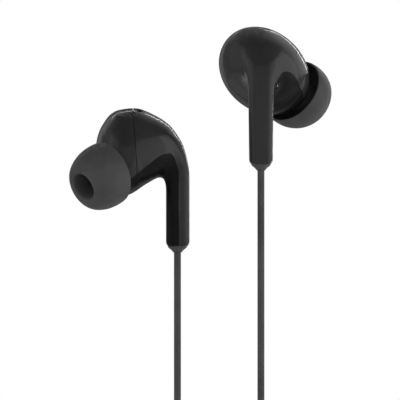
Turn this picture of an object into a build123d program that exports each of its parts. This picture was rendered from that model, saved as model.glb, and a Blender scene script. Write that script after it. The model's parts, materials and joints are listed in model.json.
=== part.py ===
"""Wired in-ear earphones with an in-line remote, a splitter and a 3.5 mm plug, in millimetres.

+Z is up and the buds hang upright, as they are worn, with their cords straight down. +Y points away
from the front. The origin is the centre of the left ear tip's mouth.

Each bud is drawn once, in the left bud's own frame: +X points away from the head, -Y forward and
+Z up, with zero on the stem's axis at the height of the housing's top. The right bud is its mirror
image, and is turned so that its outer side faces the front.
"""

import os
from math import cos, pi, radians, sin, tan

from build123d import *

# Housing: an oval seam with a dome on each side of it
SEAM_LONG, SEAM_SHORT = 9.9, 8.0  # half lengths of the oval
SEAM_TURN = 41  # degrees that its long axis points below forward
SEAM_TILT = 4  # degrees that the seam's top leans towards the head
SEAM_CENTRE = (-8.3, -0.8, -8.8)
OUTER_DEPTH, EAR_DEPTH = 10.0, 8.3
DOME_STEPS = (0, 0.25, 0.5, 0.7, 0.85, 0.95, 0.995)  # shares of the depth that get an oval
WALL = 0.9

# Stem, with the cord's knot and boot in its bore
STEM_BOTTOM, STEM_SHOULDER = -28.0, -12.0
STEM_DEPTH, STEM_WIDTH_LOW, STEM_WIDTH_TOP = 4.7, 4.7, 5.1
STEM_CORNER, STEM_END_ROUND = 2.0, 1.4
STEM_LEAN = ((-8.7, -0.85), (-6.0, -2.1))  # height and sideways shift of the sections above it
STEM_BORE_R = 1.3
TRIM_EDGE_X = 0.2
VENT_X, VENT_Y, VENT_LONG, VENT_WIDE = -7.7, -1.1, 2.2, 1.0

# Nozzle and ear tip, along one axis from the tip's widest circle
TIP_CENTRE = Vector(-14.8, -7.05, -13.85)
TIP_AXIS = Vector(-0.713, -0.573, -0.404).normalized()
TIP_R, TIP_REACH, SKIRT_DROP = 6.65, 5.3, 1.9
TIP_BORE_R, TIP_CORE_R = 2.75, 3.3
BARB_R, NECK_R, NOZZLE_BORE_R, NOZZLE_REACH = 2.7, 2.3, 1.7, 2.2
ROOT_R, ROOT_END = 3.1, -1.2
CORE_START = -0.9

# Driver, along the seam's normal; heights are outward from the seam
DRIVER_R, DRIVER_FRONT = 5.0, -1.4
COVER_THICK, BULKHEAD_THICK = 0.3, 0.8
GAP_OUT_R, GAP_IN_R = 3.1, 2.6  # the magnet gap's walls
MAGNET_R = 2.5
COIL_OUT_R, COIL_IN_R = 2.95, 2.75
DIAPHRAGM_R = 4.2

# Cords: branches from the buds, and the main cord from the splitter to the plug
BRANCH_D, MAIN_D = 1.4, 1.8
HOLE_GAP = 0.02  # radial room of a cord in its boot

# Places in the row's frame
LEFT_STEM = -(TIP_CENTRE + TIP_AXIS * TIP_REACH)
RIGHT_STEM = LEFT_STEM + Vector(16.7, 0, 16.4)
LEFT_X, RIGHT_X, CORD_Y = LEFT_STEM.X, RIGHT_STEM.X, LEFT_STEM.Y
BOOT_OUT, BOOT_IN, BOOT_R = 1.1, 3.0, 1.8
KNOT_LOW, KNOT_LONG = 3.2, 2.6  # above the stem's bottom

# In-line remote on the right branch, its front to -Y
REMOTE_Z, REMOTE_LONG, REMOTE_WIDE, REMOTE_HALF = -69.0, 37.0, 7.6, 2.2
REMOTE_WALL = 0.9
REMOTE_BOOT_LONG, REMOTE_BOOT_R, REMOTE_BOOT_IN, REMOTE_END_R = 4.5, 1.9, 1.6, 1.6
BUTTONS = (("button_up", 8.6, 6.4), ("button_play", 0.0, 7.4), ("button_down", -8.6, 6.4))
BUTTON_WIDE, BUTTON_GAP, BUTTON_PROUD, FLANGE_MORE = 5.0, 0.12, 0.35, 0.4
MIC_Y = 14.4

# Put-away coils, one behind another, wound round one axis along Y
RING_IN_R = 7.9
COIL_Z = -108.0
BRANCH_LAYERS, BRANCH_SLOTS = 3, 2
MAIN_LAYERS, MAIN_SLOTS = 3, 4
RING_GAP = 0.2
BRANCH_RING_R = RING_IN_R + (BRANCH_LAYERS - 0.5) * BRANCH_D  # the outer layer's middle
MAIN_RING_R = RING_IN_R + (MAIN_LAYERS - 0.5) * MAIN_D
COIL_X = RIGHT_X - BRANCH_RING_R
RIGHT_RING_Y = CORD_Y + BRANCH_D / 2  # each ring's middle
LEFT_RING_Y = RIGHT_RING_Y - BRANCH_SLOTS * BRANCH_D - RING_GAP
MAIN_RING_Y = RIGHT_RING_Y + (BRANCH_SLOTS * BRANCH_D + MAIN_SLOTS * MAIN_D) / 2 + RING_GAP
LEFT_ENTRY = 23  # degrees above level where the slanting left branch meets its ring
TIE_WIDE, TIE_THICK = 4.0, 0.8

# Where the cords' runs turn
LEFT_BEND_Z, RIGHT_BEND_Z = -66.3, -97.0
LOOP_SIDE_Z, LOOP_LOW_Z = -141.0, -148.4  # of the main cord's loop under the coils

# Splitter and plug, which hang below the coils
SPLITTER_TOP, SPLITTER_LONG = COIL_Z - 9.0, 15.0
SPLITTER_Y = (LEFT_RING_Y + RIGHT_RING_Y) / 2
INLET_STEP = 1.9
SPLITTER_RELIEF = 4.5
PLUG_X = COIL_X + MAIN_RING_R
PLUG_Y = MAIN_RING_Y + (MAIN_SLOTS - 1) / 2 * MAIN_D
PLUG_TOP = COIL_Z - 8.0
RELIEF_LONG, GRIP_LONG, GRIP_R = 9.0, 16.0, 3.2
PIN_R = 1.75
PIN_SPANS = (("plug_sleeve", 0.0, 4.6), ("plug_ring_2", 5.2, 7.6), ("plug_ring_1", 8.2, 10.2))
PIN_CORE_R, TIP_START, TIP_END = 1.0, 10.8, 14.0

SEAM = Plane(
    origin=SEAM_CENTRE,
    x_dir=(0, -1, 0),
    z_dir=(cos(radians(SEAM_TILT)), 0, sin(radians(SEAM_TILT))),
)
NOZZLE = Plane(origin=TIP_CENTRE, x_dir=(TIP_AXIS.Y, -TIP_AXIS.X, 0), z_dir=TIP_AXIS)
REMOTE = Plane(origin=(RIGHT_X, CORD_Y, REMOTE_Z), x_dir=(1, 0, 0), z_dir=(0, -1, 0))
MIRROR = Plane(origin=(0, 0, 0), z_dir=(1, 1, 0))


def write(name, builder):
    """Label a finished piece and write its file."""
    builder.part.label = name
    export_step(builder.part, f"parts/{name}.step")


def write_pair(name, piece):
    """Write a bud's piece at the left bud, and its mirror image at the right bud."""
    with BuildPart() as left:
        with Locations(LEFT_STEM):
            add(piece.part)
    write(f"{name}_left", left)
    reflection = mirror(piece.part, about=MIRROR, mode=Mode.PRIVATE)
    with BuildPart() as right:
        with Locations(RIGHT_STEM):
            add(reflection)
    write(f"{name}_right", right)


def turned(plane, outline):
    """A solid revolved from an outline of (radius, height) points about the plane's normal."""
    with BuildPart() as solid:
        with BuildSketch(Plane(plane.origin, x_dir=plane.x_dir, z_dir=-plane.y_dir)):
            with BuildLine():
                Polyline(*outline, close=True)
            make_face()
        revolve(axis=Axis(plane.origin, plane.z_dir))
    return solid


def dome(side, depth, swell, fall, inset):
    """Loft ovals that shrink with the distance from the seam, on its outer (1) or ear (-1) side."""
    with BuildPart() as solid:
        for share in DOME_STEPS:
            scale = (1 - share**swell) ** fall
            with BuildSketch(SEAM.offset(side * share * (depth - inset))):
                Ellipse((SEAM_LONG - inset) * scale, (SEAM_SHORT - inset) * scale, rotation=SEAM_TURN)
        loft()
    return solid


def outer_dome(inset=0.0):
    return dome(1, OUTER_DEPTH, 1.6, 0.65, inset)


def ear_dome(inset=0.0):
    return dome(-1, EAR_DEPTH, 2.3, 0.5, inset)


def bar(sections, ruled):
    """Loft the stem's rounded sections of (height, shift, width)."""
    with BuildPart() as solid:
        for height, shift, width in sections:
            with BuildSketch(Plane((shift, 0, height))):
                RectangleRounded(STEM_DEPTH, width, STEM_CORNER)
        loft(ruled=ruled)
    return solid


# Outer housing with its stem, before the glossy trim is parted from it
outer_solid, outer_hollow = outer_dome(), outer_dome(WALL)
shoulder = (STEM_SHOULDER, 0, STEM_WIDTH_TOP)
stem = bar(((STEM_BOTTOM, 0, STEM_WIDTH_LOW), shoulder), ruled=True)
stem_top = bar((shoulder, *((height, shift, STEM_WIDTH_TOP) for height, shift in STEM_LEAN)), ruled=False)

with BuildPart() as outer_form:
    add(stem.part)
    fillet(outer_form.edges().group_by(Axis.Z)[0], STEM_END_ROUND)
    add(stem_top.part)
    add(outer_solid.part)
    add(outer_hollow.part, mode=Mode.SUBTRACT)
    with BuildSketch(Plane.XY.offset(STEM_BOTTOM)):
        Circle(STEM_BORE_R)
    extrude(amount=STEM_SHOULDER + 2 - STEM_BOTTOM, mode=Mode.SUBTRACT)

with BuildPart() as trim_region:
    with BuildSketch(Plane.XZ):
        with BuildLine():
            arch = Spline((-9.4, -13.7), (-6.9, -12.2), (-3.9, -10.0), (-2.6, -9.5), (-0.6, -10.6),
                          (TRIM_EDGE_X, -14.0))
            Polyline(arch @ 1, (TRIM_EDGE_X, -29), (-9.4, -29), arch @ 0)
        make_face()
    extrude(amount=12)
    with BuildSketch(Plane.XZ):
        with BuildLine():
            Polyline((TRIM_EDGE_X, -29), (TRIM_EDGE_X, -14.5), (-3.2, -14.5), (-3.2, -29), close=True)
        make_face()
    extrude(amount=-4)

with BuildPart() as vent_hole:
    with BuildSketch(Plane((VENT_X, VENT_Y, -2))):
        SlotOverall(VENT_LONG, VENT_WIDE, rotation=90)
    extrude(amount=3)

with BuildPart() as outer_shell:
    add(outer_form.part)
    add(trim_region.part, mode=Mode.SUBTRACT)
    add(vent_hole.part, mode=Mode.SUBTRACT)

with BuildPart() as stem_trim:
    add(outer_form.part)
    add(trim_region.part, mode=Mode.INTERSECT)

with BuildPart() as vent_screen:
    with BuildSketch(Plane((VENT_X, VENT_Y, -0.75))):
        SlotOverall(VENT_LONG, VENT_WIDE, rotation=90)
    extrude(amount=0.15)

# Ear-side housing: a dome with the nozzle, and a bulkhead that the driver sits against
bulkhead_front = DRIVER_FRONT - COVER_THICK - BULKHEAD_THICK
ear_solid, ear_hollow = ear_dome(), ear_dome(WALL)
nozzle = turned(NOZZLE, ((0, -4), (ROOT_R, -4), (ROOT_R, ROOT_END), (NECK_R, ROOT_END), (NECK_R, 0.4),
                         (BARB_R, 0.8), (BARB_R, 1.3), (NECK_R, NOZZLE_REACH), (0, NOZZLE_REACH)))

with BuildPart() as ear_cavity:
    add(ear_hollow.part)
    with BuildSketch(SEAM.offset(bulkhead_front)):
        Circle(2 * SEAM_LONG)
        Circle(DRIVER_R - 0.5, mode=Mode.SUBTRACT)
    extrude(amount=BULKHEAD_THICK, mode=Mode.SUBTRACT)

with BuildPart() as inner_shell:
    add(ear_solid.part)
    add(nozzle.part)
    add(ear_cavity.part, mode=Mode.SUBTRACT)
    with BuildSketch(NOZZLE.offset(NOZZLE_REACH)):
        Circle(NOZZLE_BORE_R)
    extrude(amount=-(NOZZLE_REACH + 5), mode=Mode.SUBTRACT)

with BuildPart() as nozzle_screen:
    with BuildSketch(NOZZLE.offset(NOZZLE_REACH - 0.4)):
        Circle(NOZZLE_BORE_R)
        with PolarLocations(1.1, 8):
            Circle(0.2, mode=Mode.SUBTRACT)
        Circle(0.2, mode=Mode.SUBTRACT)
    extrude(amount=0.15)

# Ear tip: a thin bell on a core tube that grips the nozzle
with BuildPart() as ear_tip:
    with BuildSketch(Plane(NOZZLE.origin, x_dir=NOZZLE.x_dir, z_dir=-NOZZLE.y_dir)):
        with BuildLine():
            bell = ThreePointArc((TIP_CORE_R, TIP_REACH), (5.28, 3.77), (TIP_R, 0))
            edge = ThreePointArc(bell @ 1, (6.62, -1.0), (6.45, -SKIRT_DROP))
            lining = Spline((5.95, -SKIRT_DROP), (6.1, 0), (5.0, 2.6), (TIP_CORE_R, 4.2))
            Line(edge @ 1, lining @ 0)
            Polyline(lining @ 1, (TIP_CORE_R, CORE_START), (TIP_BORE_R, CORE_START),
                     (TIP_BORE_R, TIP_REACH), bell @ 0)
        make_face()
    revolve(axis=Axis(NOZZLE.origin, NOZZLE.z_dir))

# Dynamic driver
driver_basket = turned(SEAM, ((0, 2.4), (3.6, 2.4), (3.6, 0.3), (DRIVER_R, 0.3), (DRIVER_R, DRIVER_FRONT),
                  (DRIVER_R - 0.5, DRIVER_FRONT), (DRIVER_R - 0.5, -0.1), (GAP_OUT_R, -0.1),
                  (GAP_OUT_R, 2.0), (0, 2.0)))

driver_magnet = turned(SEAM, ((0, 0.7), (MAGNET_R, 0.7), (MAGNET_R, 2.0), (0, 2.0)))

driver_top_plate = turned(SEAM, ((0, 0.3), (GAP_IN_R, 0.3), (GAP_IN_R, 0.7), (0, 0.7)))

voice_coil = turned(SEAM, ((COIL_IN_R, -0.5), (COIL_OUT_R, -0.5), (COIL_OUT_R, 1.0), (COIL_IN_R, 1.0)))

diaphragm = turned(SEAM, ((0, -0.95), (1.4, -0.85), (COIL_IN_R, -0.62), (DIAPHRAGM_R, -0.62),
                  (DIAPHRAGM_R, -0.5), (COIL_IN_R, -0.5), (1.4, -0.73), (0, -0.83)))

with BuildPart() as driver_cover:
    with BuildSketch(SEAM.offset(DRIVER_FRONT)):
        Circle(DRIVER_R)
        with PolarLocations(3.0, 10):
            Circle(0.45, mode=Mode.SUBTRACT)
        with PolarLocations(1.4, 5):
            Circle(0.45, mode=Mode.SUBTRACT)
    extrude(amount=-COVER_THICK)

# Cord's boot and knot at the stem's lower end
STEM_END = Plane((0, 0, STEM_BOTTOM))
boot_hole = BRANCH_D / 2 + HOLE_GAP
cable_boot = turned(STEM_END, ((boot_hole, -BOOT_OUT), (boot_hole + 0.15, -BOOT_OUT), (BOOT_R, 0),
                      (STEM_BORE_R, 0), (STEM_BORE_R, BOOT_IN), (boot_hole, BOOT_IN)))

cable_knot = turned(STEM_END, ((0, KNOT_LOW), (1.1, KNOT_LOW), (1.25, KNOT_LOW + 0.5),
                      (1.25, KNOT_LOW + KNOT_LONG - 0.5), (1.1, KNOT_LOW + KNOT_LONG),
                      (0, KNOT_LOW + KNOT_LONG)))

BUD_PIECES = {
    "outer_shell": outer_shell, "stem_trim": stem_trim, "vent_screen": vent_screen,
    "inner_shell": inner_shell, "nozzle_screen": nozzle_screen, "ear_tip": ear_tip,
    "driver_basket": driver_basket, "driver_magnet": driver_magnet,
    "driver_top_plate": driver_top_plate, "voice_coil": voice_coil, "diaphragm": diaphragm,
    "driver_cover": driver_cover, "cable_boot": cable_boot, "cable_knot": cable_knot,
}


def remote_cover(side):
    """Half of the remote's casing: its front (1) or its back (-1)."""
    depth = side * REMOTE_HALF
    with BuildPart() as cover:
        with BuildSketch(REMOTE):
            RectangleRounded(REMOTE_WIDE, REMOTE_LONG, REMOTE_WIDE / 2 - 0.4)
        extrude(amount=depth)
        fillet(cover.faces().sort_by(Axis(REMOTE.origin, REMOTE.z_dir * side))[-1].edges(), 0.9)
        with BuildSketch(REMOTE):
            RectangleRounded(REMOTE_WIDE - 2 * REMOTE_WALL, REMOTE_LONG - 2 * REMOTE_WALL, 2.4)
        extrude(amount=depth - side * REMOTE_WALL, mode=Mode.SUBTRACT)
        for end in (1, -1):
            with BuildSketch(Plane.XY.offset(REMOTE_Z + end * REMOTE_LONG / 2)):
                with Locations((RIGHT_X, CORD_Y)):
                    Circle(REMOTE_END_R)
            extrude(amount=-end * REMOTE_BOOT_IN, mode=Mode.SUBTRACT)
    return cover


def remote_button(height, length):
    """A cap in its opening, with a flange that keeps it in and a nub over its switch."""
    with BuildPart() as button:
        with BuildSketch(REMOTE.offset(0.85)):
            with Locations((0, height)):
                RectangleRounded(BUTTON_WIDE - BUTTON_GAP, length - 2 * BUTTON_GAP, 1.2)
        extrude(amount=REMOTE_HALF + BUTTON_PROUD - 0.85)
        fillet(button.faces().sort_by(Axis.Y)[0].edges(), 0.3)
        with BuildSketch(REMOTE.offset(0.85)):
            with Locations((0, height)):
                RectangleRounded(BUTTON_WIDE + FLANGE_MORE, length + FLANGE_MORE, 1.2)
        extrude(amount=0.35)
        with BuildSketch(REMOTE.offset(0.85)):
            with Locations((0, height)):
                Circle(0.8)
        extrude(amount=-0.45)
    return button


def strain_relief(plane, length, wide_r, narrow_r, hole_r, inside, inside_r):
    """A tapered sleeve along the plane's normal, with a stub that sits in the casing behind it."""
    return turned(plane, ((hole_r, length), (narrow_r, length), (wide_r, 0), (inside_r, 0),
                          (inside_r, -inside), (hole_r, -inside)))


remote_front = remote_cover(1)
with BuildPart() as remote_front_open:
    add(remote_front.part)
    for _, height, length in BUTTONS:
        with BuildSketch(REMOTE):
            with Locations((0, height)):
                RectangleRounded(BUTTON_WIDE + BUTTON_GAP, length, 1.3)
        extrude(amount=REMOTE_HALF + 1, mode=Mode.SUBTRACT)

remote_back = remote_cover(-1)
with BuildPart() as remote_back_open:
    add(remote_back.part)
    with BuildSketch(REMOTE):
        with Locations((0, MIC_Y)):
            Circle(0.45)
    extrude(amount=-REMOTE_HALF - 1, mode=Mode.SUBTRACT)

with BuildPart() as remote_board:
    with BuildSketch(REMOTE.offset(-0.6)):
        RectangleRounded(5.2, 32.0, 1.0)
    extrude(amount=0.4)

with BuildPart() as dome_switches:
    with BuildSketch(REMOTE.offset(-0.2)):
        with Locations(*[(0, height) for _, height, _ in BUTTONS]):
            RectangleRounded(3.0, 3.0, 0.4)
    extrude(amount=0.12)
    with BuildSketch(REMOTE.offset(-0.08)):
        with Locations(*[(0, height) for _, height, _ in BUTTONS]):
            Circle(1.2)
    extrude(amount=0.13)

with BuildPart() as microphone:
    with BuildSketch(REMOTE.offset(-0.6)):
        with Locations((0, MIC_Y)):
            RectangleRounded(2.6, 1.9, 0.2)
    extrude(amount=-0.65)

remote_ends = [
    Plane((RIGHT_X, CORD_Y, REMOTE_Z + end * REMOTE_LONG / 2), x_dir=(1, 0, 0), z_dir=(0, 0, end))
    for end in (1, -1)
]
remote_boot_upper, remote_boot_lower = [
    strain_relief(plane, REMOTE_BOOT_LONG, REMOTE_BOOT_R, boot_hole + 0.25, boot_hole,
                  REMOTE_BOOT_IN, REMOTE_END_R)
    for plane in remote_ends
]

# Splitter: an oval barrel with two inlets above and a strain relief below
splitter_bottom = SPLITTER_TOP - SPLITTER_LONG
main_hole = MAIN_D / 2 + HOLE_GAP
with BuildPart() as splitter_body:
    for height, long, wide in (
        (SPLITTER_TOP, 5.4, 3.8), (SPLITTER_TOP - 6, 5.6, 4.2), (splitter_bottom, 4.2, 4.2)
    ):
        with BuildSketch(Plane((RIGHT_X, SPLITTER_Y, height))):
            Ellipse(wide / 2, long / 2)
    loft()
    with BuildSketch(Plane((RIGHT_X, SPLITTER_Y, SPLITTER_TOP))):
        with Locations((0, INLET_STEP / 2), (0, -INLET_STEP / 2)):
            Circle(boot_hole)
    extrude(amount=-4, mode=Mode.SUBTRACT)
    with BuildSketch(Plane((RIGHT_X, SPLITTER_Y, splitter_bottom))):
        Circle(1.5)
    extrude(amount=5, mode=Mode.SUBTRACT)

splitter_relief = strain_relief(
    Plane((RIGHT_X, SPLITTER_Y, splitter_bottom), x_dir=(1, 0, 0), z_dir=(0, 0, -1)),
    SPLITTER_RELIEF, 1.9, main_hole + 0.25, main_hole, 5.0, 1.5,
)

# Plug, pointing down: relief, grip, and four contacts parted by insulators on a core
PLUG_GRIP = Plane((PLUG_X, PLUG_Y, PLUG_TOP - RELIEF_LONG))
PIN = Plane((PLUG_X, PLUG_Y, PLUG_TOP - RELIEF_LONG - GRIP_LONG), x_dir=(1, 0, 0), z_dir=(0, 0, -1))
plug_relief = strain_relief(PLUG_GRIP, RELIEF_LONG, 2.0, main_hole + 0.25, main_hole, 4.0, 1.6)

grip_solid = turned(PLUG_GRIP, ((0, 0), (2.6, 0), (GRIP_R, -1.2), (GRIP_R, 0.8 - GRIP_LONG),
                                (2.6, -GRIP_LONG), (0, -GRIP_LONG)))
with BuildPart() as plug_grip:
    add(grip_solid.part)
    with BuildSketch(PLUG_GRIP):
        Circle(1.6)
    extrude(amount=-4, mode=Mode.SUBTRACT)

pin_contacts = {
    name: turned(PIN, ((PIN_CORE_R, start), (PIN_R, start), (PIN_R, end), (PIN_CORE_R, end)))
    for name, start, end in PIN_SPANS
}
insulator_outline = [(0, 0), (PIN_CORE_R, 0)]
for (_, _, low), high in zip(PIN_SPANS, [span[1] for span in PIN_SPANS[1:]] + [TIP_START]):
    insulator_outline += [(PIN_CORE_R, low), (PIN_R, low), (PIN_R, high), (PIN_CORE_R, high)]
plug_insulators = turned(PIN, (*insulator_outline[:-1], (0, TIP_START)))
plug_tip = turned(PIN, ((0, TIP_START), (PIN_R, TIP_START), (PIN_R, 11.4), (1.2, 12.1), (1.65, 12.8),
                        (0.6, TIP_END), (0, TIP_END)))


def bend_radii(points, share=0.45):
    """The largest round arc at each corner: a share of its shorter run."""
    radii = []
    for before, corner, after in zip(points, points[1:], points[2:]):
        come, leave = Vector(corner) - Vector(before), Vector(after) - Vector(corner)
        half_turn = radians(come.get_angle(leave)) / 2
        radii.append(share * min(come.length, leave.length) / tan(half_turn))
    return radii


def cord(name, diameter, points):
    """A round tube along straight runs joined by tangent arcs."""
    with BuildPart() as tube:
        with BuildLine() as route:
            if len(points) == 2:
                Line(*points)
            else:
                FilletPolyline(*points, radius=bend_radii(points))
        with BuildSketch(Plane(Vector(points[0]), z_dir=Vector(points[1]) - Vector(points[0]))):
            Circle(diameter / 2)
        sweep(path=route.wires()[0])
    length = sum(edge.length for edge in route.edges())
    expected = length * pi * diameter**2 / 4
    radii = ", ".join(f"{radius:.0f}" for radius in bend_radii(points))
    print(f"{name}: {length:.1f} long, radii {radii or 'none'}, "
          f"volume {tube.part.volume / expected:.4f} of section times length")
    write(name, tube)


def ring(name, middle_y, diameter, layers, slots):
    """The closed outer shape of a wound coil."""
    with BuildPart() as coil:
        with BuildSketch(Plane.XY.offset(COIL_Z)):
            with Locations((COIL_X + RING_IN_R + layers * diameter / 2, middle_y)):
                RectangleRounded(layers * diameter, slots * diameter, diameter * 0.45)
        revolve(axis=Axis((COIL_X, middle_y, COIL_Z), (0, 1, 0)))
    turns_length = 2 * pi * (RING_IN_R + layers * diameter / 2)
    print(f"{name}: {turns_length:.1f} in one middle turn")
    write(name, coil)


# Tie round all three coils, at their top
tie_low_y = LEFT_RING_Y - BRANCH_SLOTS * BRANCH_D / 2 - RING_GAP
tie_high_y = MAIN_RING_Y + MAIN_SLOTS * MAIN_D / 2 + RING_GAP
tie_low_r, tie_high_r = RING_IN_R - RING_GAP, RING_IN_R + MAIN_LAYERS * MAIN_D + RING_GAP
with BuildPart() as cable_tie:
    with BuildSketch(Plane((COIL_X - TIE_WIDE / 2, (tie_low_y + tie_high_y) / 2,
                            COIL_Z + (tie_low_r + tie_high_r) / 2), x_dir=(0, 1, 0), z_dir=(1, 0, 0))):
        across, high = tie_high_y - tie_low_y, tie_high_r - tie_low_r + 1.2
        RectangleRounded(across + 2 * TIE_THICK, high + 2 * TIE_THICK, 2.0)
        RectangleRounded(across, high, 1.2, mode=Mode.SUBTRACT)
    extrude(amount=TIE_WIDE)

LEFT_ROUTE = (
    (LEFT_X, CORD_Y, LEFT_STEM.Z + STEM_BOTTOM + KNOT_LOW),
    (LEFT_X, CORD_Y, LEFT_BEND_Z),
    (COIL_X + BRANCH_RING_R * cos(radians(LEFT_ENTRY)), LEFT_RING_Y - BRANCH_D / 2,
     COIL_Z + BRANCH_RING_R * sin(radians(LEFT_ENTRY))),
)
RIGHT_UPPER_ROUTE = (
    (RIGHT_X, CORD_Y, RIGHT_STEM.Z + STEM_BOTTOM + KNOT_LOW),
    (RIGHT_X, CORD_Y, REMOTE_Z + REMOTE_LONG / 2 - REMOTE_BOOT_IN),
)
RIGHT_LOWER_ROUTE = (
    (RIGHT_X, CORD_Y, REMOTE_Z - REMOTE_LONG / 2 + REMOTE_BOOT_IN),
    (RIGHT_X, CORD_Y, RIGHT_BEND_Z),
    (RIGHT_X, RIGHT_RING_Y + BRANCH_D / 2, COIL_Z),
)
MAIN_SLOT_Y = MAIN_RING_Y - (MAIN_SLOTS - 1) / 2 * MAIN_D  # of the slot that the loop leads to
MAIN_ROUTE = (
    (RIGHT_X, SPLITTER_Y, splitter_bottom + 4.8),
    (RIGHT_X, SPLITTER_Y, LOOP_SIDE_Z),
    (COIL_X + 4.4, SPLITTER_Y + 1.3, LOOP_LOW_Z),
    (COIL_X - 5.4, SPLITTER_Y + 2.7, LOOP_LOW_Z),
    (COIL_X - MAIN_RING_R, MAIN_SLOT_Y - 0.2, LOOP_SIDE_Z),
    (COIL_X - MAIN_RING_R - 0.2, MAIN_SLOT_Y, LOOP_SIDE_Z + 16),
    (COIL_X - MAIN_RING_R, MAIN_SLOT_Y, COIL_Z),
)

os.makedirs("parts", exist_ok=True)
for name, piece in BUD_PIECES.items():
    write_pair(name, piece)
for (name, height, length) in BUTTONS:
    write(name, remote_button(height, length))
for name, piece in {
    "remote_front": remote_front_open, "remote_back": remote_back_open, "remote_board": remote_board,
    "dome_switches": dome_switches, "microphone": microphone,
    "remote_boot_upper": remote_boot_upper, "remote_boot_lower": remote_boot_lower,
    "splitter_body": splitter_body, "splitter_relief": splitter_relief,
    "plug_relief": plug_relief, "plug_grip": plug_grip, "plug_insulators": plug_insulators,
    "plug_tip": plug_tip, "cable_tie": cable_tie, **pin_contacts,
}.items():
    write(name, piece)

cord("branch_left", BRANCH_D, LEFT_ROUTE)
cord("branch_right_upper", BRANCH_D, RIGHT_UPPER_ROUTE)
cord("branch_right_lower", BRANCH_D, RIGHT_LOWER_ROUTE)
for side, y, inlet in (("left", LEFT_RING_Y + BRANCH_D / 2, -1), ("right", RIGHT_RING_Y - BRANCH_D / 2, 1)):
    cord(f"branch_{side}_end", BRANCH_D,
         ((RIGHT_X, y, COIL_Z - 1), (RIGHT_X, SPLITTER_Y + inlet * INLET_STEP / 2, SPLITTER_TOP - 3.9)))
cord("main_cord", MAIN_D, MAIN_ROUTE)
cord("plug_lead", MAIN_D, ((PLUG_X, PLUG_Y, COIL_Z + 1), (PLUG_X, PLUG_Y, PLUG_TOP - RELIEF_LONG - 3.8)))
ring("coil_left", LEFT_RING_Y, BRANCH_D, BRANCH_LAYERS, BRANCH_SLOTS)
ring("coil_right", RIGHT_RING_Y, BRANCH_D, BRANCH_LAYERS, BRANCH_SLOTS)
ring("coil_main", MAIN_RING_Y, MAIN_D, MAIN_LAYERS, MAIN_SLOTS)
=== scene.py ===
"""Looks of the wired earphones: camera, cords, bud shells, tips, remote, plug and materials.

Buds are modelled once in millimetres in the left bud's own frame (+X away from the head, -Y forward,
+Z up, zero on the stem's axis at the housing's top) and placed at both buds in metres.
"""

import json
import math

import bmesh
import bpy
import numpy as np
from mathutils import Matrix, Vector


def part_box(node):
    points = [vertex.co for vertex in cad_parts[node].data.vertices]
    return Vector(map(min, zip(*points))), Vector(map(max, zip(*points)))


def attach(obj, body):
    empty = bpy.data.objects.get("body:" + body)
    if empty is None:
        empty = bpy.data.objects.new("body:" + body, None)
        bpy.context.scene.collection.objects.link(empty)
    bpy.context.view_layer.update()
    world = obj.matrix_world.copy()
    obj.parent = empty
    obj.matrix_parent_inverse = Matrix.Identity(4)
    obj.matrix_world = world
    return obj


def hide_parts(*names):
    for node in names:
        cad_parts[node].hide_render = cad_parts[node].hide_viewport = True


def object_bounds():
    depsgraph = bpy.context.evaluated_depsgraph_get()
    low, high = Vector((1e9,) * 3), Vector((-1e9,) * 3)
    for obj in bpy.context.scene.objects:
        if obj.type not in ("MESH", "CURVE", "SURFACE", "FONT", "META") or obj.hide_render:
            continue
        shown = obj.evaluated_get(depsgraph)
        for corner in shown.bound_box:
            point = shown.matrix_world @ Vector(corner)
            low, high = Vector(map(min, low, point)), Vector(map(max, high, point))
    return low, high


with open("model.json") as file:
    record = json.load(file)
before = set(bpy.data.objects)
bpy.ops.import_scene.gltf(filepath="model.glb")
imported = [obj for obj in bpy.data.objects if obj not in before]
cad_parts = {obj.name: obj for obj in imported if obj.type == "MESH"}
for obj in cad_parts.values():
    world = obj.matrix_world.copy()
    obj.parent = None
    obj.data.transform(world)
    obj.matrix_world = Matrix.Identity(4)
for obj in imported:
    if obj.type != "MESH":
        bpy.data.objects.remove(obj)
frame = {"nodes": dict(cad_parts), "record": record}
cad_box = [list(corner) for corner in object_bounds()]

MM = 0.001
ROOT = "earphones"


# ---------------------------------------------------------------- places taken from the frame

def node_middle(name):
    low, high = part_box(name)
    return (Vector(low) + Vector(high)) / 2


BOOT_BELOW = 29.1 * MM  # from the stem's zero to the boot's lower end


def stem_zero(side):
    """The bud frame's zero: on the stem's axis, at the housing's top."""
    low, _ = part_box(f"cable_boot_{side}")
    middle = node_middle(f"cable_boot_{side}")
    return Vector((middle.x, middle.y, low[2] + BOOT_BELOW))


STEM = {side: stem_zero(side) for side in ("left", "right")}
PLACE = {
    "left": Matrix.Translation(STEM["left"]) @ Matrix.Scale(MM, 4),
    "right": Matrix.Translation(STEM["right"]) @ Matrix.Scale(MM, 4)
    @ Matrix(((0, -1, 0, 0), (-1, 0, 0, 0), (0, 0, 1, 0), (0, 0, 0, 1))),
}

# ---------------------------------------------------------------- camera

VIEW_WIDTH = 0.080
VIEW_MIDDLE = STEM["left"] + Vector((4.51, 0, -18.6)) * MM
LENS, SENSOR = 1500, 36

camera_data = bpy.data.cameras.new("camera")
camera_data.lens, camera_data.sensor_width = LENS, SENSOR
camera_data.clip_start = 0.01
camera = bpy.data.objects.new("camera", camera_data)
bpy.context.collection.objects.link(camera)
camera.location = VIEW_MIDDLE - Vector((0, VIEW_WIDTH * LENS / SENSOR, 0))
camera.rotation_euler = (math.pi / 2, 0, 0)
bpy.context.scene.camera = camera


# ---------------------------------------------------------------- materials

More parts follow.
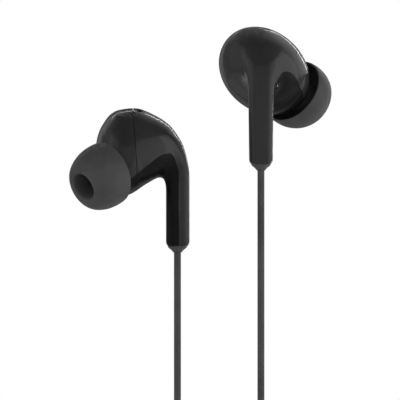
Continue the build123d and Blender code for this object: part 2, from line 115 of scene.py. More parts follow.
def material(name, colour, roughness, coat=0.0, sheen=0.0, specular=0.5, metallic=0.0,
             grain=0.0, grain_size=0.12, smudge=0.06, tint=0.15, coat_roughness=0.13):
    """A Principled surface whose colour and roughness drift a little and whose bump is a fine grain."""
    made = bpy.data.materials.new(name)
    made.use_nodes = True
    nodes, links = made.node_tree.nodes, made.node_tree.links
    shader = nodes["Principled BSDF"]
    shader.inputs["Metallic"].default_value = metallic
    shader.inputs["Coat Weight"].default_value = coat
    shader.inputs["Coat Roughness"].default_value = coat_roughness
    shader.inputs["Sheen Weight"].default_value = sheen
    shader.inputs["Sheen Roughness"].default_value = 0.4
    shader.inputs["Specular IOR Level"].default_value = specular
    place = nodes.new("ShaderNodeTexCoord")

    drift = nodes.new("ShaderNodeTexNoise")
    drift.inputs["Scale"].default_value = 180
    drift.inputs["Detail"].default_value = 5
    links.new(place.outputs["Object"], drift.inputs["Vector"])
    colours = nodes.new("ShaderNodeValToRGB")
    colours.color_ramp.elements[0].color = (*[c * (1 - tint) for c in colour], 1)
    colours.color_ramp.elements[1].color = (*[c * (1 + tint) for c in colour], 1)
    colours.color_ramp.elements[0].position, colours.color_ramp.elements[1].position = 0.35, 0.65
    links.new(drift.outputs["Fac"], colours.inputs["Fac"])
    links.new(colours.outputs["Color"], shader.inputs["Base Color"])

    rough = nodes.new("ShaderNodeMapRange")
    rough.inputs["To Min"].default_value = max(0.02, roughness - smudge)
    rough.inputs["To Max"].default_value = min(1.0, roughness + smudge)
    links.new(drift.outputs["Fac"], rough.inputs["Value"])
    links.new(rough.outputs["Result"], shader.inputs["Roughness"])

    fine = nodes.new("ShaderNodeTexNoise")
    fine.inputs["Scale"].default_value = 1 / (grain_size * MM)
    fine.inputs["Detail"].default_value = 3
    links.new(place.outputs["Object"], fine.inputs["Vector"])
    bump = nodes.new("ShaderNodeBump")
    bump.inputs["Strength"].default_value = grain
    bump.inputs["Distance"].default_value = 0.02 * MM
    links.new(fine.outputs["Fac"], bump.inputs["Height"])
    links.new(bump.outputs["Normal"], shader.inputs["Normal"])
    return made


MATERIALS = {
    "shell": material("shell", (0.036, 0.036, 0.037), 0.45, coat=0.35, grain=0.05,
                      coat_roughness=0.07),
    "trim": material("trim", (0.0155, 0.0155, 0.0158), 0.28, coat=0.04, smudge=0.04, grain=0.02,
                     specular=0.1),
    "silicone": material("silicone", (0.128, 0.128, 0.13), 0.62, sheen=0.03, grain=0.15, specular=0.4),
    "mesh": material("mesh", (0.02, 0.02, 0.022), 0.4, metallic=0.8, grain=0.3),
    "boot": material("boot", (0.13, 0.13, 0.133), 0.5, grain=0.25),
    "cord": material("cord", (0.16, 0.16, 0.163), 0.6, grain=0.35, grain_size=0.2, specular=0.15),
    "remote": material("remote", (0.016, 0.016, 0.017), 0.36, grain=0.2),
    "button": material("button", (0.02, 0.02, 0.021), 0.28, grain=0.1),
    "board": material("board", (0.02, 0.09, 0.04), 0.35, coat=0.4, grain=0.3),
    "switch": material("switch", (0.62, 0.62, 0.6), 0.25, metallic=1.0, grain=0.2),
    "basket": material("basket", (0.5, 0.5, 0.49), 0.32, metallic=1.0, grain=0.3),
    "magnet": material("magnet", (0.45, 0.44, 0.42), 0.2, metallic=1.0, grain=0.1),
    "copper": material("copper", (0.72, 0.33, 0.16), 0.3, metallic=1.0, grain=0.5),
    "film": material("film", (0.5, 0.42, 0.28), 0.25, coat=0.5, grain=0.1),
    "contact": material("contact", (0.83, 0.62, 0.28), 0.16, metallic=1.0, smudge=0.05, grain=0.08),
    "insulator": material("insulator", (0.015, 0.015, 0.015), 0.4, grain=0.2),
    "knot": material("knot", (0.05, 0.05, 0.05), 0.5, grain=0.3),
    "tie": material("tie", (0.014, 0.014, 0.015), 0.55, grain=0.5, sheen=0.1),
}

NODE_SLOT = {row["node"]: row["material_slot"] for row in frame["record"]["subparts"]}
for node, piece in frame["nodes"].items():
    piece.data.materials.clear()
    piece.data.materials.append(MATERIALS[NODE_SLOT[node]])


# ---------------------------------------------------------------- cords

def route_cord(name, points, diameter):
    """One smooth NURBS curve whose control points are the route's, in millimetres."""
    curve = bpy.data.curves.new(name, "CURVE")
    curve.dimensions = "3D"
    spline = curve.splines.new("NURBS")
    spline.points.add(len(points) - 1)
    for target, point in zip(spline.points, points):
        target.co = (*[c * MM for c in point], 1)
    spline.order_u = 3
    spline.use_endpoint_u = True
    spline.resolution_u = 6
    curve.bevel_depth = diameter * MM / 2
    curve.bevel_resolution = 5
    curve.use_fill_caps = True
    curve.materials.append(MATERIALS["cord"])
    piece = bpy.data.objects.new(name, curve)
    bpy.context.collection.objects.link(piece)
    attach(piece, ROOT)
    return piece


POINTS_PER_TURN = 16
SHIFT_START, SHIFT_SHARE = 0.72, 0.25  # the part of a turn over which it moves to the next track


def wound(centre, rows, first_r, diameter, layers, start, turns):
    """Points of a clockwise coil in the XZ plane: in through one row's layers and out through the next."""
    tracks = []
    for index, y in enumerate(rows):
        radii = [first_r - layer * diameter for layer in range(layers)]
        tracks += [(r, y) for r in (radii if index % 2 == 0 else radii[::-1])]
    tracks.append(tracks[-1])
    points = []
    steps = round(turns * POINTS_PER_TURN)
    for step in range(steps + 1):
        turn, along = divmod(step / POINTS_PER_TURN, 1)
        (r0, y0), (r1, y1) = tracks[int(turn)], tracks[min(int(turn) + 1, len(tracks) - 1)]
        shift = min(max((along - SHIFT_START) / SHIFT_SHARE, 0), 1)
        shift = shift * shift * (3 - 2 * shift)
        r = (r0 + (r1 - r0) * shift) / math.cos(math.pi / POINTS_PER_TURN)
        angle = math.radians(start) - 2 * math.pi * turns * step / steps
        points.append((centre[0] + r * math.cos(angle), y0 + (y1 - y0) * shift,
                       centre[1] + r * math.sin(angle)))
    return points


BRANCH_D, MAIN_D = 1.4, 1.8
BRANCH_OFFSET = 0.95  # of each branch from the splitter's middle
CORD_START = -24.8  # inside the boot, below the stem's zero
LEFT_X, LEFT_Y, LEFT_Z = [c / MM for c in STEM["left"]]
RIGHT_X, RIGHT_Y, RIGHT_Z = [c / MM for c in STEM["right"]]
COIL = [c / MM for c in node_middle("coil_right")]
LEFT_ROWS = [node_middle("coil_left").y / MM + side * BRANCH_D / 2 for side in (-1, 1)]
RIGHT_ROWS = [COIL[1] + side * BRANCH_D / 2 for side in (1, -1)]
MAIN_ROWS = [node_middle("coil_main").y / MM + (row - 1.5) * MAIN_D for row in range(4)]
BRANCH_RING_R, MAIN_RING_R = 11.4, 12.4
SPLIT = [c / MM for c in node_middle("splitter_body")]
PLUG = [c / MM for c in node_middle("plug_grip")]
LAYERS, BRANCH_TURNS, MAIN_TURNS = 3, 5, 11.5
LEFT_ENTRY = 23  # degrees round the coil where the left branch comes in

left_points = [
    (LEFT_X, LEFT_Y, LEFT_Z + CORD_START),
    (LEFT_X, LEFT_Y, -50.0),
    (LEFT_X, LEFT_Y, -66.3),
    *wound((COIL[0], COIL[2]), LEFT_ROWS, BRANCH_RING_R, BRANCH_D, LAYERS,
           LEFT_ENTRY, BRANCH_TURNS + LEFT_ENTRY / 360),
    (RIGHT_X, LEFT_ROWS[1], -109.0),
    (RIGHT_X, SPLIT[1] - BRANCH_OFFSET, -120.9),
]
right_upper_points = [
    (RIGHT_X, RIGHT_Y, RIGHT_Z + CORD_START),
    (RIGHT_X, RIGHT_Y, -52.1),
]
right_lower_points = [
    (RIGHT_X, RIGHT_Y, -85.9),
    (RIGHT_X, RIGHT_Y, -97.0),
    *wound((COIL[0], COIL[2]), RIGHT_ROWS, BRANCH_RING_R, BRANCH_D, LAYERS, 0, BRANCH_TURNS),
    (RIGHT_X, RIGHT_ROWS[1], -109.0),
    (RIGHT_X, SPLIT[1] + BRANCH_OFFSET, -120.9),
]
main_points = [
    (RIGHT_X, SPLIT[1], -127.2),
    (RIGHT_X, SPLIT[1], -141.0),
    (COIL[0] + 4.4, SPLIT[1] + 1.3, -148.4),
    (COIL[0] - 5.4, SPLIT[1] + 2.7, -148.4),
    (COIL[0] - MAIN_RING_R, MAIN_ROWS[0] - 0.2, -141.0),
    (COIL[0] - MAIN_RING_R - 0.2, MAIN_ROWS[0], -125.0),
    *wound((COIL[0], COIL[2]), MAIN_ROWS, MAIN_RING_R, MAIN_D, LAYERS, 180, MAIN_TURNS),
    (PLUG[0], PLUG[1], -107.0),
    (PLUG[0], PLUG[1], -128.8),
]
left_cord = route_cord("left_cord", left_points, BRANCH_D)
right_cord_upper = route_cord("right_cord_upper", right_upper_points, BRANCH_D)
right_cord_lower = route_cord("right_cord_lower", right_lower_points, BRANCH_D)
plug_cord = route_cord("plug_cord", main_points, MAIN_D)
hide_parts("branch_left", "coil_left", "branch_left_end")
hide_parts("branch_right_upper")
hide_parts("branch_right_lower", "coil_right", "branch_right_end")
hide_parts("main_cord", "coil_main", "plug_lead")

# ---------------------------------------------------------------- shapes of a bud

SEAM_TILT = math.radians(4)
SEAM_CENTRE = np.array((-8.3, -0.8, -8.8))
SEAM_OUT = np.array((math.cos(SEAM_TILT), 0, math.sin(SEAM_TILT)))
SEAM_UP = np.array((-math.sin(SEAM_TILT), 0, math.cos(SEAM_TILT)))
HOUSING_CENTRE = np.array((-9.39, -0.67, -8.93))
HOUSING_TURN = math.radians(37.2)
HOUSING_LONG, HOUSING_SHORT = 10.1, 8.24
OUTER_DEPTH, EAR_DEPTH = 9.8, 7.05
OUTER_FORWARD, OUTER_DOWN, EAR_DROP = 0.255, 0.84, 1.04  # how far the ovals drift towards both ends
SWELL = (0.885, -0.0814, 0.0046)
TIP_CENTRE = np.array((-14.95, -7.35, -13.88))
TIP_AXIS = np.array((-0.713, -0.573, -0.404))
TIP_AXIS = TIP_AXIS / np.linalg.norm(TIP_AXIS)
VENT = np.array((-7.7, -1.1, -0.5))
VENT_R, VENT_HALF, VENT_DEPTH = 0.5, 0.6, 0.75
STEM_BOTTOM, STEM_TOP, STEM_SHOULDER = -28.0, -7.5, -13.93
STEM_HALF, STEM_FLARE, STEM_CORNER, STEM_LEAN = 2.35, 0.2, 1.6, 0.05
TRIM_EDGE_X, TRIM_END_X = 0.3, -10.8
TRIM_BACK_Y = 0.4  # over the bud the trim ends here, and on the stem it goes round
TRIM_STEM_X, TRIM_STEM_Z = -3.4, -14.6
FAIRING = 2.92  # reach of the blend from stem to dome


def smooth_min(a, b, reach):
    share = np.clip(0.5 + 0.5 * (b - a) / reach, 0, 1)
    return b + (a - b) * share - reach * share * (1 - share)


def smooth_max(a, b, reach):
    return -smooth_min(-a, -b, reach)


def housing_raw(p):
    """Below zero inside the housing: ovals about the seam's normal that shrink to both ends."""
    q = p - HOUSING_CENTRE
    out = q @ SEAM_OUT
    rise = np.clip((out + 1.5) / 4.5, 0, 1)
    rise = rise * rise * (3 - 2 * rise)
    forward = -q[..., 1] + OUTER_FORWARD * rise
    down = -(q @ SEAM_UP) + OUTER_DOWN * rise - EAR_DROP * np.clip(-out / 5, 0, 1) ** 2
    along = forward * math.cos(HOUSING_TURN) + down * math.sin(HOUSING_TURN)
    across = -forward * math.sin(HOUSING_TURN) + down * math.cos(HOUSING_TURN)
    held = np.clip(out, -EAR_DEPTH - 4, OUTER_DEPTH + 4)
    plump = SWELL[0] + SWELL[1] * held + SWELL[2] * held**2
    swell = (1 - held / OUTER_DEPTH) * (1 + held / EAR_DEPTH) * plump
    return (along / HOUSING_LONG) ** 2 + (across / HOUSING_SHORT) ** 2 - swell


def slope_of(field, p, step=0.02):
    """The gradient of a field at points p."""
    return np.stack([
        (field(p + step * axis) - field(p - step * axis)) / (2 * step) for axis in np.eye(3)
    ], -1)


def housing(p):
    """housing_raw in millimetres, near its surface."""
    return housing_raw(p) / np.maximum(np.linalg.norm(slope_of(housing_raw, p), axis=-1), 0.02)


def stem_bar(p):
    """Below zero inside a slim rounded bar whose top leans into the dome."""
    lean = STEM_LEAN * np.maximum(p[..., 2] - STEM_SHOULDER, 0) ** 2
    half_width = STEM_HALF + STEM_FLARE * np.clip((p[..., 2] - STEM_BOTTOM) / 16, 0, 1)
    half = np.stack(np.broadcast_arrays(STEM_HALF, half_width), -1)
    near = np.abs(np.stack((p[..., 0] - 0.06 + lean, p[..., 1]), -1)) - half + STEM_CORNER
    side = np.linalg.norm(np.maximum(near, 0), axis=-1) + np.minimum(near.max(-1), 0) - STEM_CORNER
    ends = np.maximum(STEM_BOTTOM - p[..., 2], p[..., 2] - STEM_TOP)
    return smooth_max(side, ends, 1.2)


def neck(p):
    """Below zero inside the cone that joins the housing to the nozzle."""
    q = p - TIP_CENTRE
    along = q @ TIP_AXIS
    radius = np.linalg.norm(q - along[..., None] * TIP_AXIS, axis=-1)
    side = (radius - (3.0 - 0.4 * (along + 1.2))) * 0.93
    return smooth_max(smooth_max(side, along + 1.15, 0.5), -along - 4.5, 0.5)


def vent_recess(p):
    """Below zero inside the slot that is sunk into the housing's top."""
    q = p - VENT
    ahead = np.maximum(np.abs(q[..., 1]) - VENT_HALF, 0)
    return np.maximum(np.hypot(q[..., 0], ahead) - VENT_R, -VENT_DEPTH - q[..., 2])


def bud_body(p):
    """Below zero inside the whole bud: housing, stem and neck, less the vent's slot."""
    whole = smooth_min(smooth_min(housing(p), stem_bar(p), FAIRING), neck(p), 1.6)
    return smooth_max(whole, -vent_recess(p), 0.12)


# ---------------------------------------------------------------- mesh helpers

def net(field, low, high, step):
    """Vertices and quads of the surface where a field is zero, by surface nets."""
    axes = [np.arange(a, b + step, step) for a, b in zip(low, high)]
    grid = np.stack(np.meshgrid(*axes, indexing="ij"), -1)
    values = field(grid)
    cells = [n - 1 for n in values.shape]

    def corner(array, offset):
        return array[tuple(slice(o, o + n) for o, n in zip(offset, cells))]

    offsets = [(x, y, z) for x in (0, 1) for y in (0, 1) for z in (0, 1)]
    total, count = np.zeros((*cells, 3)), np.zeros(cells)
    for start in offsets:
        for axis in range(3):
            if start[axis]:
                continue
            end = tuple(o + (i == axis) for i, o in enumerate(start))
            a, b = corner(values, start), corner(values, end)
            crossed = (a < 0) != (b < 0)
            share = np.where(crossed, a / np.where(crossed, a - b, 1), 0)
            point = np.broadcast_to(np.array(start, float), (*cells, 3)).copy()
            point[..., axis] += share
            total += point * crossed[..., None]
            count += crossed
    active = count > 0
    index = np.full(cells, -1)
    index[active] = np.arange(active.sum())
    base = np.stack(np.nonzero(active), -1)
    vertices = np.array(low) + (base + total[active] / count[active][:, None]) * step
    quads = []
    inside = values < 0
    for axis in range(3):
        u, v = [i for i in range(3) if i != axis]
        lower = inside[tuple(slice(0, -1) if i == axis else slice(1, -1) for i in range(3))]
        upper = inside[tuple(slice(1, None) if i == axis else slice(1, -1) for i in range(3))]
        for flip, mask in ((False, lower & ~upper), (True, ~lower & upper)):
            place = np.stack(np.nonzero(mask), -1)
            place[:, u] += 1
            place[:, v] += 1
            ring = []
            for du, dv in ((0, 0), (-1, 0), (-1, -1), (0, -1)):
                cell = place.copy()
                cell[:, u] += du
                cell[:, v] += dv
                ring.append(index[tuple(cell.T)])
            if flip == (axis != 1):
                ring = ring[::-1]
            quads.append(np.stack(ring, -1))
    return vertices, np.concatenate(quads)


def settled(vertices, quads, field, rounds=4):
    """Even out the vertices along the surface and put them exactly on it."""
    pairs = np.concatenate([quads[:, [i, (i + 1) % 4]] for i in range(4)])
    pairs = np.concatenate([pairs, pairs[:, ::-1]])
    degree = np.bincount(pairs[:, 0], minlength=len(vertices))[:, None]
    for _ in range(rounds):
        mean = np.stack([
            np.bincount(pairs[:, 0], weights=vertices[pairs[:, 1], axis], minlength=len(vertices))
            for axis in range(3)
        ], -1) / degree
        vertices = 0.4 * vertices + 0.6 * mean
        for _ in range(3):
            slope = slope_of(field, vertices)
            move = field(vertices) / np.maximum((slope**2).sum(-1), 0.05)
            vertices = vertices - np.clip(move, -0.3, 0.3)[:, None] * slope
    return vertices


def formed_normals(mesh, points, side):
    """Give the outer faces the normals of bud_body itself, so that narrow faces beside a cut don't show."""
    outer = np.abs(bud_body(points)) < 0.02
    slopes = slope_of(bud_body, points)
    slopes /= np.linalg.norm(slopes, axis=1)[:, None]
    slopes = slopes @ np.array(PLACE[side].to_3x3()).T / MM
    corners = np.empty(len(mesh.loops), int)
    mesh.loops.foreach_get("vertex_index", corners)
    sizes = np.empty(len(mesh.polygons), int)
    mesh.polygons.foreach_get("loop_total", sizes)
    flat = np.empty(3 * len(mesh.polygons))
    mesh.polygons.foreach_get("normal", flat)
    face = np.repeat(np.arange(len(sizes)), sizes)
    formed = np.bincount(face, weights=~outer[corners]) == 0
    normals = np.where(formed[face][:, None], slopes[corners], flat.reshape(-1, 3)[face])
    mesh.normals_split_custom_set([tuple(n) for n in normals])


def bud_piece(name, bm, side, slot, body=ROOT, replaced=(), sharp=35, formed=False):
    """Place a bud-frame mesh, in millimetres, at one of the buds."""
    points = np.array([vertex.co[:] for vertex in bm.verts])
    mesh = bpy.data.meshes.new(f"{name}_{side}")
    copy = bm.copy()
    bmesh.ops.transform(copy, matrix=PLACE[side], verts=copy.verts)
    if side == "right":
        bmesh.ops.reverse_faces(copy, faces=copy.faces)
    copy.to_mesh(mesh)
    copy.free()
    mesh.shade_smooth()
    mesh.set_sharp_from_angle(angle=math.radians(sharp))
    if formed:
        formed_normals(mesh, points, side)
    mesh.materials.append(MATERIALS[slot])
    piece = bpy.data.objects.new(f"{name}_{side}", mesh)
    bpy.context.collection.objects.link(piece)
    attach(piece, body)
    if replaced:
        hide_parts(*replaced)
    return piece


def sliced(bm, point, normal, warp=None):
    """Cut along a plane and keep both sides. warp bends height by a function of X before the cut."""
    if warp:
        for vertex in bm.verts:
            vertex.co.z -= float(warp(vertex.co.x))
    bmesh.ops.bisect_plane(bm, geom=bm.verts[:] + bm.edges[:] + bm.faces[:], dist=1e-5,
                           plane_co=point, plane_no=normal)
    if warp:
        for vertex in bm.verts:
            vertex.co.z += float(warp(vertex.co.x))


def kept(bm, test):
    """A copy with only the faces whose middle passes the test."""
    copy = bm.copy()
    gone = [face for face in copy.faces if not test(face.calc_center_median())]
    bmesh.ops.delete(copy, geom=gone, context="FACES")
    return copy


def thicken(bm, thickness):
    """Give an open skin a wall on its inner side."""
    bm.normal_update()
    faces = bm.faces[:]
    rim = [face_loop for face in faces for face_loop in face.loops if len(face_loop.edge.link_faces) == 1]
    rim = [(face_loop.vert, face_loop.link_loop_next.vert) for face_loop in rim]
    inner = {vertex: bm.verts.new(vertex.co - vertex.normal * thickness) for vertex in bm.verts[:]}
    for face in faces:
        bm.faces.new([inner[vertex] for vertex in reversed(face.verts)])
    for a, b in rim:
        bm.faces.new((b, a, inner[a], inner[b]))
    bm.normal_update()


def arch_height(x):
    """Height of the trim's upper edge over the bud, seen from the front."""
    rising = -9.65 + 0.8 * (x + 3.4)
    highest = -9.3
    falling = -12.9 - 3.2 * (x - TRIM_EDGE_X)
    return smooth_min(smooth_min(rising, highest, 1.0), falling, 2.0)


def out_of_seam(point):
    """Distance from the seam's plane, away from the ear."""
    return float((np.array(point) - SEAM_CENTRE) @ SEAM_OUT)


def in_trim(point, gap):
    """True where the glossy trim lies, drawn in from its outline by a gap."""
    across = TRIM_END_X + gap < point.x < TRIM_EDGE_X - gap
    below = point.z < arch_height(point.x) - gap
    ahead = point.y < TRIM_BACK_Y - gap
    on_stem = point.x > TRIM_STEM_X and point.z < TRIM_STEM_Z - gap
    return across and below and (ahead or on_stem)


GRID_STEP = 0.24
BUD_LOW, BUD_HIGH = (-17.4, -12.2, -28.9), (3.2, 9.6, 1.0)
SHELL_WALL, TRIM_WALL = 0.8, 0.7
SEAM_GAP, TRIM_GAP = 0.055, 0.005  # half of each gap
vertices, quads = net(bud_body, BUD_LOW, BUD_HIGH, GRID_STEP)
vertices = settled(vertices, quads, bud_body)
body_mesh = bpy.data.meshes.new("bud_body")
body_mesh.from_pydata([tuple(v) for v in vertices], [], [tuple(int(i) for i in q) for q in quads])
body = bmesh.new()
body.from_mesh(body_mesh)
bmesh.ops.recalc_face_normals(body, faces=body.faces)

for gap in (TRIM_GAP, -TRIM_GAP):
    sliced(body, (TRIM_EDGE_X - gap, 0, 0), (1, 0, 0))
    sliced(body, (TRIM_END_X + gap, 0, 0), (1, 0, 0))
    sliced(body, (0, 0, -gap), (0, 0, 1), warp=arch_height)
    sliced(body, (0, TRIM_BACK_Y - gap, 0), (0, 1, 0))
    sliced(body, (0, 0, TRIM_STEM_Z - gap), (0, 0, 1))
trim_skin = kept(body, lambda c: in_trim(c, TRIM_GAP))
shells = kept(body, lambda c: not in_trim(c, -TRIM_GAP))
for offset in (SEAM_GAP, -SEAM_GAP):
    sliced(shells, SEAM_CENTRE + offset * SEAM_OUT, SEAM_OUT)
ear_skin = kept(shells, lambda c: out_of_seam(c) < -SEAM_GAP)
shell_skin = kept(shells, lambda c: out_of_seam(c) > SEAM_GAP)
for skin, wall in ((ear_skin, SHELL_WALL), (trim_skin, TRIM_WALL), (shell_skin, SHELL_WALL)):
    thicken(skin, wall)
for side in ("left", "right"):
    bud_piece("ear_side_housing", ear_skin, side, "shell", replaced=[f"inner_shell_{side}"], formed=True)
    bud_piece("outer_housing", shell_skin, side, "shell", replaced=[f"outer_shell_{side}"], formed=True)
    bud_piece("glossy_trim", trim_skin, side, "trim", replaced=[f"stem_trim_{side}"], formed=True)


# ---------------------------------------------------------------- turned pieces

def smooth_line(points, steps=8):
    """A Catmull-Rom line through the points."""
    first, last = 2 * np.array(points[0]) - points[1], 2 * np.array(points[-1]) - points[-2]
    ends = [first, *map(np.array, points), last]
    line = []
    for a, b, c, d in zip(ends, ends[1:], ends[2:], ends[3:]):
        for step in range(steps):
            t = step / steps
            line.append(0.5 * (2 * b + (c - a) * t + (2 * a - 5 * b + 4 * c - d) * t**2
                               + (3 * b - a - 3 * c + d) * t**3))
    return [tuple(p) for p in line] + [tuple(points[-1])]


def lathe(outline, origin, axis, segments=96, oval=0.0, first=None, round_r=3.3):
    """Turn a closed outline of (radius, height) about an axis.

    oval stretches what is outside round_r along first.
    """
    axis = Vector(axis).normalized()
    first = Vector(axis.orthogonal() if first is None else first).normalized()
    second = axis.cross(first)
    bm = bmesh.new()
    rings = []
    for radius, height in outline:
        middle = Vector(origin) + axis * height
        if radius < 1e-6:
            rings.append([bm.verts.new(middle)] * segments)
            continue
        stretch = oval * min(max((radius - round_r) / 2.5, 0), 1)
        rings.append([
            bm.verts.new(middle + first * math.cos(a) * radius * (1 + stretch)
                         + second * math.sin(a) * radius * (1 - stretch))
            for a in [2 * math.pi * i / segments for i in range(segments)]
        ])
    for low, high in zip(rings, rings[1:] + rings[:1]):
        for i in range(segments):
            j = (i + 1) % segments
            corners = []
            for vertex in (low[i], low[j], high[j], high[i]):
                if vertex not in corners:
                    corners.append(vertex)
            if len(corners) > 2:
                bm.faces.new(corners)
    bmesh.ops.recalc_face_normals(bm, faces=bm.faces)
    return bm


def woven(centre, across, along, reach_across, reach_along, pitch, wire, inside):
    """A plain weave of thin wires over the points for which inside(u, v) holds."""
    across, along = Vector(across).normalized(), Vector(along).normalized()
    up = across.cross(along)
    bm = bmesh.new()
    for u_axis, v_axis, reach, stop, phase in (
        (across, along, reach_across, reach_along, 0), (along, across, reach_along, reach_across, 1)
    ):
        rows = int(stop / pitch)
        for row in range(-rows, rows + 1):
            v = row * pitch
            points = []
            steps = int(2 * reach / pitch * 3)
            for step in range(steps + 1):
                u = -reach + 2 * reach * step / steps
                if inside(u, v) if phase == 0 else inside(v, u):
                    wave = 0.5 * wire * math.cos(math.pi * u / pitch) * (1 if (row + phase) % 2 else -1)
                    points.append(Vector(centre) + u_axis * u + v_axis * v + up * wave)
            rings = [[
                bm.verts.new(point + (v_axis * math.cos(a) + up * math.sin(a)) * wire / 2)
                for a in [math.pi / 3 * i for i in range(6)]
            ] for point in points]
            for low, high in zip(rings, rings[1:]):
                for i in range(6):
                    bm.faces.new((low[i], low[(i + 1) % 6], high[(i + 1) % 6], high[i]))
            for ring in rings[:1] + rings[-1:]:
                bm.faces.new(ring)
    bmesh.ops.recalc_face_normals(bm, faces=bm.faces)
    return bm


# The soft tip's outer face from the mouth round to the skirt's hem, and the skirt's inner face.
BELL = smooth_line([
    (2.72, 4.9), (2.84, 5.2), (3.15, 5.35), (3.8, 5.3), (4.55, 4.95), (5.2, 4.35), (5.75, 3.55),
    (6.2, 2.5), (6.5, 1.4), (6.64, 0.1), (6.64, -0.9), (6.55, -1.7), (6.38, -1.95), (6.2, -1.8),
], 6)
LINING = smooth_line([
    (6.2, -1.8), (6.28, -0.5), (6.1, 0.9), (5.5, 2.4), (4.5, 3.6), (3.5, 3.8), (3.3, 2.8),
], 6)
TIP_SIDE = np.cross(TIP_AXIS, (0, 0, 1))
TIP_SIDE = TIP_SIDE / np.linalg.norm(TIP_SIDE)
TIP_UP = np.cross(TIP_SIDE, TIP_AXIS)
TIP_ROLL = -0.815
TIP_LONG = math.cos(TIP_ROLL) * TIP_SIDE + math.sin(TIP_ROLL) * TIP_UP  # the oval's long way
tip = lathe([*BELL, *LINING[1:], (3.3, -0.85), (2.75, -0.85), (2.72, 2.4)], TIP_CENTRE, TIP_AXIS,
            oval=0.053, first=TIP_LONG)
NOZZLE_MESH_R = 1.72
nozzle = lathe([
    (2.95, -2.0), (2.95, -1.15), (2.3, -1.1), (2.3, 0.4), (2.7, 0.8), (2.7, 1.25), (2.35, 2.15),
    (2.2, 2.2), (1.75, 2.2), (1.7, 2.1), (1.7, -2.0),
], TIP_CENTRE, TIP_AXIS)
nozzle_mesh = woven(TIP_CENTRE + 1.8 * TIP_AXIS, TIP_SIDE, TIP_UP,
                    NOZZLE_MESH_R, NOZZLE_MESH_R, 0.2, 0.07,
                    lambda u, v: math.hypot(u, v) < NOZZLE_MESH_R)
vent_mesh = woven(VENT - np.array((0, 0, 0.45)), (1, 0, 0), (0, 1, 0),
                  VENT_R, VENT_R + VENT_HALF, 0.15, 0.055,
                  lambda u, v: math.hypot(u, max(abs(v) - VENT_HALF, 0)) < VENT_R)
for side in ("left", "right"):
    bud_piece("silicone_tip", tip, side, "silicone", body=f"ear_tip_{side}",
              replaced=[f"ear_tip_{side}"], sharp=60)
    bud_piece("nozzle", nozzle, side, "shell", sharp=30)
    bud_piece("nozzle_mesh", nozzle_mesh, side, "mesh", replaced=[f"nozzle_screen_{side}"])
    bud_piece("vent_mesh", vent_mesh, side, "mesh", replaced=[f"vent_screen_{side}"])

BOOT = smooth_line([(1.95, 0.25), (1.9, 0.0), (1.72, -0.22), (1.35, -0.52), (1.02, -0.84), (0.84, -1.1)], 5)
boot = lathe([*BOOT, (0.72, -1.1), (0.72, 1.5), (1.6, 1.5)], (0, 0, STEM_BOTTOM), (0, 0, 1))
for side in ("left", "right"):
    bud_piece("boot", boot, side, "boot", replaced=[f"cable_boot_{side}"])

# ---------------------------------------------------------------- light, floor and backdrop

world = bpy.data.worlds.new("studio")
bpy.context.scene.world = world
world.use_nodes = True
nodes, links = world.node_tree.nodes, world.node_tree.links
background = nodes["Background"]
background.inputs["Color"].default_value = (1, 1, 1, 1)
background.inputs["Strength"].default_value = 0.04
white = nodes.new("ShaderNodeBackground")
white.inputs["Color"].default_value = (1, 1, 1, 1)
white.inputs["Strength"].default_value = 1.0
path = nodes.new("ShaderNodeLightPath")
mixed = nodes.new("ShaderNodeMixShader")
links.new(path.outputs["Is Camera Ray"], mixed.inputs["Fac"])
links.new(background.outputs["Background"], mixed.inputs[1])
links.new(white.outputs["Background"], mixed.inputs[2])
links.new(mixed.outputs["Shader"], nodes["World Output"].inputs["Surface"])
bpy.context.scene.view_settings.view_transform = "Standard"


def softbox(name, place, size, power):
    """A square area light that faces the buds."""
    data = bpy.data.lights.new(name, "AREA")
    data.shape, data.size, data.size_y = "RECTANGLE", *size
    data.energy = power
    lamp = bpy.data.objects.new(name, data)
    lamp.visible_camera = False
    bpy.context.collection.objects.link(lamp)
    lamp.location = VIEW_MIDDLE + Vector(place)
    lamp.rotation_euler = (VIEW_MIDDLE - lamp.location).to_track_quat("-Z", "Y").to_euler()


BACKLIGHT_REACH = 0.6


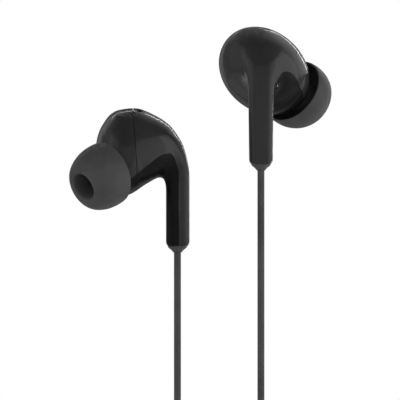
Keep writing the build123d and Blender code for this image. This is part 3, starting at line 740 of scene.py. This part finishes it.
def backlight(name, clock, off_axis, long, wide, radiance):
    """A strip behind the object: clock is its place round the view's middle and off_axis its angle from it."""
    around, off = math.radians(clock), math.radians(off_axis)
    out = Vector((math.cos(around), 0, math.sin(around)))
    data = bpy.data.lights.new(name, "AREA")
    data.shape, data.size, data.size_y = "RECTANGLE", long, wide
    data.energy = radiance * math.pi * long * wide
    lamp = bpy.data.objects.new(name, data)
    bpy.context.collection.objects.link(lamp)
    behind = Vector((0, 1, 0))
    lamp.location = VIEW_MIDDLE + BACKLIGHT_REACH * (out * math.sin(off) + behind * math.cos(off))
    facing = (VIEW_MIDDLE - lamp.location).normalized()
    along = out.cross(behind).normalized()
    turned = Matrix((along, facing.cross(along) * -1, -facing)).transposed().to_4x4()
    lamp.matrix_world = Matrix.Translation(lamp.location) @ turned


softbox("front", (0, -2.1, 0.3), (2.4, 2.4), 6.0)
softbox("front_right", (0.62, -0.32, 0.1), (0.6, 0.9), 0.95)
softbox("front_left", (-0.62, -0.3, 0.2), (0.8, 0.9), 1.0)
softbox("side_right", (0.7, 0.12, 0.15), (0.5, 0.9), 1.1)
softbox("side_left", (-0.42, 0.62, 0.15), (0.3, 0.9), 0.42)
softbox("left", (-0.72, 0.1, 0.15), (0.6, 0.9), 0.4)
softbox("ceiling", (0, -0.1, 1.0), (1.6, 1.6), 0.55)
backlight("rim_right", 35, 36, 0.5, 0.026, 17.0)
backlight("rim_top", 100, 40, 0.4, 0.02, 7.0)
backlight("rim_low", 300, 38, 0.6, 0.03, 34.0)

FLOOR_RADIUS, FLOOR_BELOW, FLOOR_LIFT = 0.5, 0.03, 0.42
floor_mesh = bpy.data.meshes.new("floor")
floor_z = cad_box[0][2] - FLOOR_BELOW
floor_bm = bmesh.new()
bmesh.ops.create_circle(floor_bm, cap_ends=True, segments=64, radius=FLOOR_RADIUS,
                        matrix=Matrix.Translation((VIEW_MIDDLE.x, VIEW_MIDDLE.y, floor_z)))
floor_bm.to_mesh(floor_mesh)
floor_bm.free()
floor = bpy.data.objects.new("floor", floor_mesh)
bpy.context.collection.objects.link(floor)
floor_paint = material("floor", (0.93, 0.93, 0.93), 0.7, tint=0.01, grain=0.1)
nodes, links = floor_paint.node_tree.nodes, floor_paint.node_tree.links
nodes["Principled BSDF"].inputs["Emission Color"].default_value = (1, 1, 1, 1)
lift = nodes.new("ShaderNodeMath")  # seen by the camera only, so it lights nothing
lift.operation = "MULTIPLY"
lift.inputs[1].default_value = FLOOR_LIFT
links.new(nodes.new("ShaderNodeLightPath").outputs["Is Camera Ray"], lift.inputs[0])
links.new(lift.outputs["Value"], nodes["Principled BSDF"].inputs["Emission Strength"])
floor_mesh.materials.append(floor_paint)
